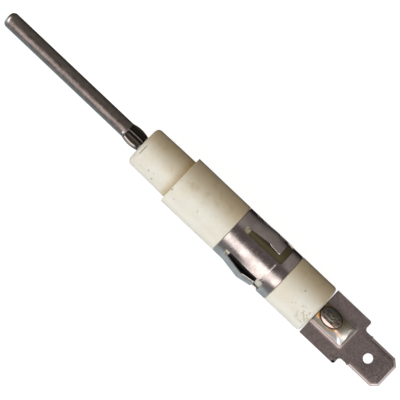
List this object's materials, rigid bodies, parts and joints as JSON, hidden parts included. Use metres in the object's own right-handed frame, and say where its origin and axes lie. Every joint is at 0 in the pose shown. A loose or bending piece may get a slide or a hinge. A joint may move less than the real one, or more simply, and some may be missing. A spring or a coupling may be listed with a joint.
{
  "type": "ignition electrode",
  "caption": "Rod electrode in a stepped ceramic insulator, with a sprung clip round its waist and a push-on tab terminal welded to the rod.",
  "frame": {"origin": "on the rod's axis, in the plane of the shoulder at the front of the insulator's collar, where the electrode seats in its holder", "axes": "+X along the rod towards its spark tip, +Z square to the flat face of the terminal on the side of its raised channel, +Y across the terminal"},
  "size_m": [0.088, 0.0103, 0.0102],
  "materials": {
    "rod_steel": "drawn heat-resistant alloy rod, grey-brown",
    "ceramic": "unglazed cream alumina, slightly stained",
    "clip_steel": "bright rolled stainless sheet with fine scratches",
    "terminal_steel": "satin grey-brown stamped sheet",
    "weld": "heat-tinted weld, blue to brown"
  },
  "bodies": {
    "insulator": {"ceramic_insulator": "ceramic", "electrode_rod": "rod_steel", "terminal_blade": "terminal_steel", "weld_button": "weld"},
    "clip": {"clip_sleeve": "clip_steel"},
    "leg_1": {"finger_1_leg": "clip_steel"},
    "tip_1": {"finger_1_tip": "clip_steel"},
    "leg_2": {"finger_2_leg": "clip_steel"},
    "tip_2": {"finger_2_tip": "clip_steel"},
    "leg_3": {"finger_3_leg": "clip_steel"},
    "tip_3": {"finger_3_tip": "clip_steel"}
  },
  "joints": [
    {"name": "clip_turn", "type": "hinge", "parent": "insulator", "child": "clip", "pos_m": [-0.018, 0, 0], "axis": [1, 0, 0], "continuous": true},
    {"name": "finger_1_flex", "type": "hinge", "parent": "clip", "child": "leg_1", "pos_m": [-0.01386, 0.00445, 0.00136], "axis": [0, -0.2924, 0.9563], "range_deg": [0, 5], "stiffness_Nm_per_rad": 0.3},
    {"name": "finger_1_crease", "type": "hinge", "parent": "leg_1", "child": "tip_1", "pos_m": [-0.0181, 0.00502, 0.00153], "axis": [0, -0.2924, 0.9563], "range_deg": [-12.8, 0.5]},
    {"name": "finger_2_flex", "type": "hinge", "parent": "clip", "child": "leg_2", "pos_m": [-0.01386, -0.0034, 0.00317], "axis": [0, -0.682, -0.7314], "range_deg": [0, 5], "stiffness_Nm_per_rad": 0.3},
    {"name": "finger_2_crease", "type": "hinge", "parent": "leg_2", "child": "tip_2", "pos_m": [-0.0181, -0.00384, 0.00358], "axis": [0, -0.682, -0.7314], "range_deg": [-12.8, 0.5]},
    {"name": "finger_3_flex", "type": "hinge", "parent": "clip", "child": "leg_3", "pos_m": [-0.01386, -0.00105, -0.00453], "axis": [0, 0.9744, -0.225], "range_deg": [0, 5], "stiffness_Nm_per_rad": 0.3},
    {"name": "finger_3_crease", "type": "hinge", "parent": "leg_3", "child": "tip_3", "pos_m": [-0.0181, -0.00118, -0.00512], "axis": [0, 0.9744, -0.225], "range_deg": [-12.8, 0.5]}
  ],
  "couplings": [
    {"joint": "finger_1_crease", "follows": "finger_1_flex", "ratio": -2.54},
    {"joint": "finger_2_crease", "follows": "finger_2_flex", "ratio": -2.54},
    {"joint": "finger_3_crease", "follows": "finger_3_flex", "ratio": -2.54}
  ]
}
